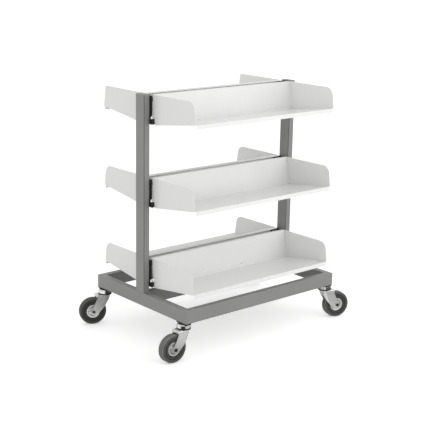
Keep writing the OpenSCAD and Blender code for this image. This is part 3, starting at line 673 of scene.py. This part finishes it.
def growPiece(name, mesh, tree, values, body):
    # runs a tree on a mesh and keeps the result as a plain mesh on its body
    seed = bpy.data.objects.new(name + "Seed", mesh)
    bpy.context.scene.collection.objects.link(seed)
    modifier = seed.modifiers.new("grow", "NODES")
    modifier.node_group = tree
    for item in tree.interface.items_tree:
        if item.item_type == "SOCKET" and item.in_out == "INPUT" and item.name in values:
            modifier[item.identifier] = values[item.name]
    bpy.context.view_layer.update()
    grown = bpy.data.meshes.new_from_object(seed.evaluated_get(bpy.context.evaluated_depsgraph_get()))
    bpy.data.objects.remove(seed)
    piece = bpy.data.objects.new(name, grown)
    grown.name = name
    bpy.context.scene.collection.objects.link(piece)
    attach(piece, body)
    return piece


def pointMesh(name, points, edges=()):
    mesh = bpy.data.meshes.new(name)
    mesh.from_pydata([tuple(point) for point in points], list(edges), [])
    return mesh


weldSet = {
    "step": 0.0017, "radius": 0.0027, "ripple": 0.0012, "sides": 12, "rows": 7,
    "footEnds": (0.4175, 0.4425), "footFace": 0.030, "railTop": 0.2269,   # the uprights' feet
    "railFace": 0.415, "beamFace": 0.015, "beamHeights": (0.1705, 0.2233),  # the middle beam's ends
}


def weldRippleTree():
    # a bead of overlapping scales along each seed edge
    tree, into, out = startTree("weldRipples", [
        ("Step", "NodeSocketFloat", 0.0018), ("Radius", "NodeSocketFloat", 0.0026),
        ("Ripple", "NodeSocketFloat", 0.0012), ("Finish", "NodeSocketMaterial", None)])
    path = addNode(tree, "GeometryNodeMeshToCurve")
    spaced = addNode(tree, "GeometryNodeResampleCurve", mode="LENGTH")
    points = addNode(tree, "GeometryNodeCurveToPoints", mode="EVALUATED")
    ball = addNode(tree, "GeometryNodeMeshUVSphere", {
        "Segments": weldSet["sides"], "Rings": weldSet["rows"], "Radius": 1.0})
    shade = addNode(tree, "GeometryNodeSetShadeSmooth")
    size = addNode(tree, "ShaderNodeCombineXYZ")
    place = addNode(tree, "GeometryNodeInstanceOnPoints")
    tree.links.new(into.outputs["Geometry"], path.inputs["Mesh"])
    tree.links.new(path.outputs["Curve"], spaced.inputs["Curve"])
    tree.links.new(into.outputs["Step"], spaced.inputs["Length"])
    tree.links.new(spaced.outputs["Curve"], points.inputs["Curve"])
    tree.links.new(points.outputs["Points"], place.inputs["Points"])
    tree.links.new(points.outputs["Rotation"], place.inputs["Rotation"])
    tree.links.new(ball.outputs["Mesh"], shade.inputs["Geometry"])
    tree.links.new(shade.outputs["Geometry"], place.inputs["Instance"])
    for axis, source in (("X", "Radius"), ("Y", "Radius"), ("Z", "Ripple")):
        tree.links.new(into.outputs[source], size.inputs[axis])
    tree.links.new(size.outputs["Vector"], place.inputs["Scale"])
    endTree(tree, into, out, place.outputs["Instances"])
    return tree


def laySeams():
    # the four feet of the uprights and the two ends of the middle beam
    railTop, railFace, beamFace, footFace = [
        weldSet[name] for name in ("railTop", "railFace", "beamFace", "footFace")]
    points, edges = [], []
    for side in (-1, 1):
        for face in (-1, 1):
            seams = [
                [(side * end, face * footFace, railTop) for end in weldSet["footEnds"]],
                [(side * railFace, face * beamFace, height) for height in weldSet["beamHeights"]]]
            for seam in seams:
                edges.append((len(points), len(points) + 1))
                points.extend(seam)
    growPiece("weldRipples", pointMesh("weldSeams", points, edges), weldRippleTree(), {
        "Step": weldSet["step"], "Radius": weldSet["radius"], "Ripple": weldSet["ripple"],
        "Finish": finishes["framePaint"]}, "frame")


washerSet = {
    "outer": 0.0080, "inner": 0.0030, "thick": 0.0013, "sides": 40,
    "along": 0.4115, "across": 0.04166, "aboveFold": 0.028,
}


def washerTree():
    # a flat ring on every point of the seed mesh
    tree, into, out = startTree("washers", [
        ("Outer", "NodeSocketFloat", 0.008), ("Inner", "NodeSocketFloat", 0.004),
        ("Thickness", "NodeSocketFloat", 0.001), ("Finish", "NodeSocketMaterial", None)])
    path = addNode(tree, "GeometryNodeCurvePrimitiveCircle", {"Resolution": washerSet["sides"]})
    section = addNode(tree, "GeometryNodeCurvePrimitiveQuadrilateral")
    middle = addNode(tree, "ShaderNodeMath", operation="ADD")
    half = addNode(tree, "ShaderNodeMath", operation="MULTIPLY")
    half.inputs[1].default_value = 0.5
    wide = addNode(tree, "ShaderNodeMath", operation="SUBTRACT")
    sweep = addNode(tree, "GeometryNodeCurveToMesh")
    place = addNode(tree, "GeometryNodeInstanceOnPoints")
    tree.links.new(into.outputs["Outer"], middle.inputs[0])
    tree.links.new(into.outputs["Inner"], middle.inputs[1])
    tree.links.new(middle.outputs["Value"], half.inputs[0])
    tree.links.new(half.outputs["Value"], path.inputs["Radius"])
    tree.links.new(into.outputs["Outer"], wide.inputs[0])
    tree.links.new(into.outputs["Inner"], wide.inputs[1])
    tree.links.new(wide.outputs["Value"], section.inputs["Width"])
    tree.links.new(into.outputs["Thickness"], section.inputs["Height"])
    tree.links.new(path.outputs["Curve"], sweep.inputs["Curve"])
    tree.links.new(section.outputs["Curve"], sweep.inputs["Profile Curve"])
    tree.links.new(into.outputs["Geometry"], place.inputs["Points"])
    tree.links.new(sweep.outputs["Mesh"], place.inputs["Instance"])
    endTree(tree, into, out, place.outputs["Instances"])
    return tree


def layWashers():
    # one under each domed nut, on top of the black blocks
    rise = washerSet["aboveFold"] + washerSet["thick"] / 2
    points = [(end * washerSet["along"], side * washerSet["across"], fold + rise)
              for fold in tiers.values() for end in (-1, 1) for side in (-1, 1)]
    growPiece("nutWashers", pointMesh("nutPlaces", points), washerTree(), {
        "Outer": washerSet["outer"], "Inner": washerSet["inner"], "Thickness": washerSet["thick"],
        "Finish": finishes["brightPlate"]}, "frame")


rivetSet = {"count": 6, "reach": 0.0182, "radius": 0.0022, "rise": 0.0011, "web": 0.0104}


def rivetTree():
    # domed heads in a ring on both faces of a hub, with the axle along Y
    tree, into, out = startTree("hubRivets", [
        ("Count", "NodeSocketInt", 6), ("Ring Radius", "NodeSocketFloat", 0.018),
        ("Head Radius", "NodeSocketFloat", 0.002), ("Head Rise", "NodeSocketFloat", 0.001),
        ("Web Half", "NodeSocketFloat", 0.0105), ("Centre", "NodeSocketVector", None),
        ("Turn", "NodeSocketVector", None), ("Finish", "NodeSocketMaterial", None)])
    ring = addNode(tree, "GeometryNodeMeshCircle")
    head = addNode(tree, "GeometryNodeMeshUVSphere", {"Segments": 16, "Rings": 10, "Radius": 1.0})
    shade = addNode(tree, "GeometryNodeSetShadeSmooth")
    size = addNode(tree, "ShaderNodeCombineXYZ")
    place = addNode(tree, "GeometryNodeInstanceOnPoints")
    join = addNode(tree, "GeometryNodeJoinGeometry")
    tree.links.new(into.outputs["Count"], ring.inputs["Vertices"])
    tree.links.new(into.outputs["Ring Radius"], ring.inputs["Radius"])
    tree.links.new(head.outputs["Mesh"], shade.inputs["Geometry"])
    tree.links.new(ring.outputs["Mesh"], place.inputs["Points"])
    tree.links.new(shade.outputs["Geometry"], place.inputs["Instance"])
    for axis, source in (("X", "Head Radius"), ("Y", "Head Radius"), ("Z", "Head Rise")):
        tree.links.new(into.outputs[source], size.inputs[axis])
    tree.links.new(size.outputs["Vector"], place.inputs["Scale"])
    for facing in (-1, 1):
        lift = addNode(tree, "ShaderNodeMath", operation="MULTIPLY")
        lift.inputs[1].default_value = facing
        shift = addNode(tree, "ShaderNodeCombineXYZ")
        move = addNode(tree, "GeometryNodeTransform")
        tree.links.new(into.outputs["Web Half"], lift.inputs[0])
        tree.links.new(lift.outputs["Value"], shift.inputs["Z"])
        tree.links.new(place.outputs["Instances"], move.inputs["Geometry"])
        tree.links.new(shift.outputs["Vector"], move.inputs["Translation"])
        tree.links.new(move.outputs["Geometry"], join.inputs["Geometry"])
    stand = addNode(tree, "GeometryNodeTransform")
    tree.links.new(join.outputs["Geometry"], stand.inputs["Geometry"])
    tree.links.new(into.outputs["Centre"], stand.inputs["Translation"])
    tree.links.new(into.outputs["Turn"], stand.inputs["Rotation"])
    endTree(tree, into, out, stand.outputs["Geometry"])
    return tree


def layRivets():
    tree = rivetTree()
    for corner in castors:
        centre, turn = wheelPlace(corner)
        growPiece(corner + "_hub_rivets", pointMesh(corner + "HubCentre", [centre]), tree, {
            "Count": rivetSet["count"], "Ring Radius": rivetSet["reach"], "Head Radius": rivetSet["radius"],
            "Head Rise": rivetSet["rise"], "Web Half": rivetSet["web"], "Centre": tuple(centre),
            "Turn": (math.pi / 2, 0.0, turn), "Finish": finishes["axleSteel"]}, corner + "_wheel")


laySeams()
layWashers()
layRivets()
print("seams, washers and rivets laid")
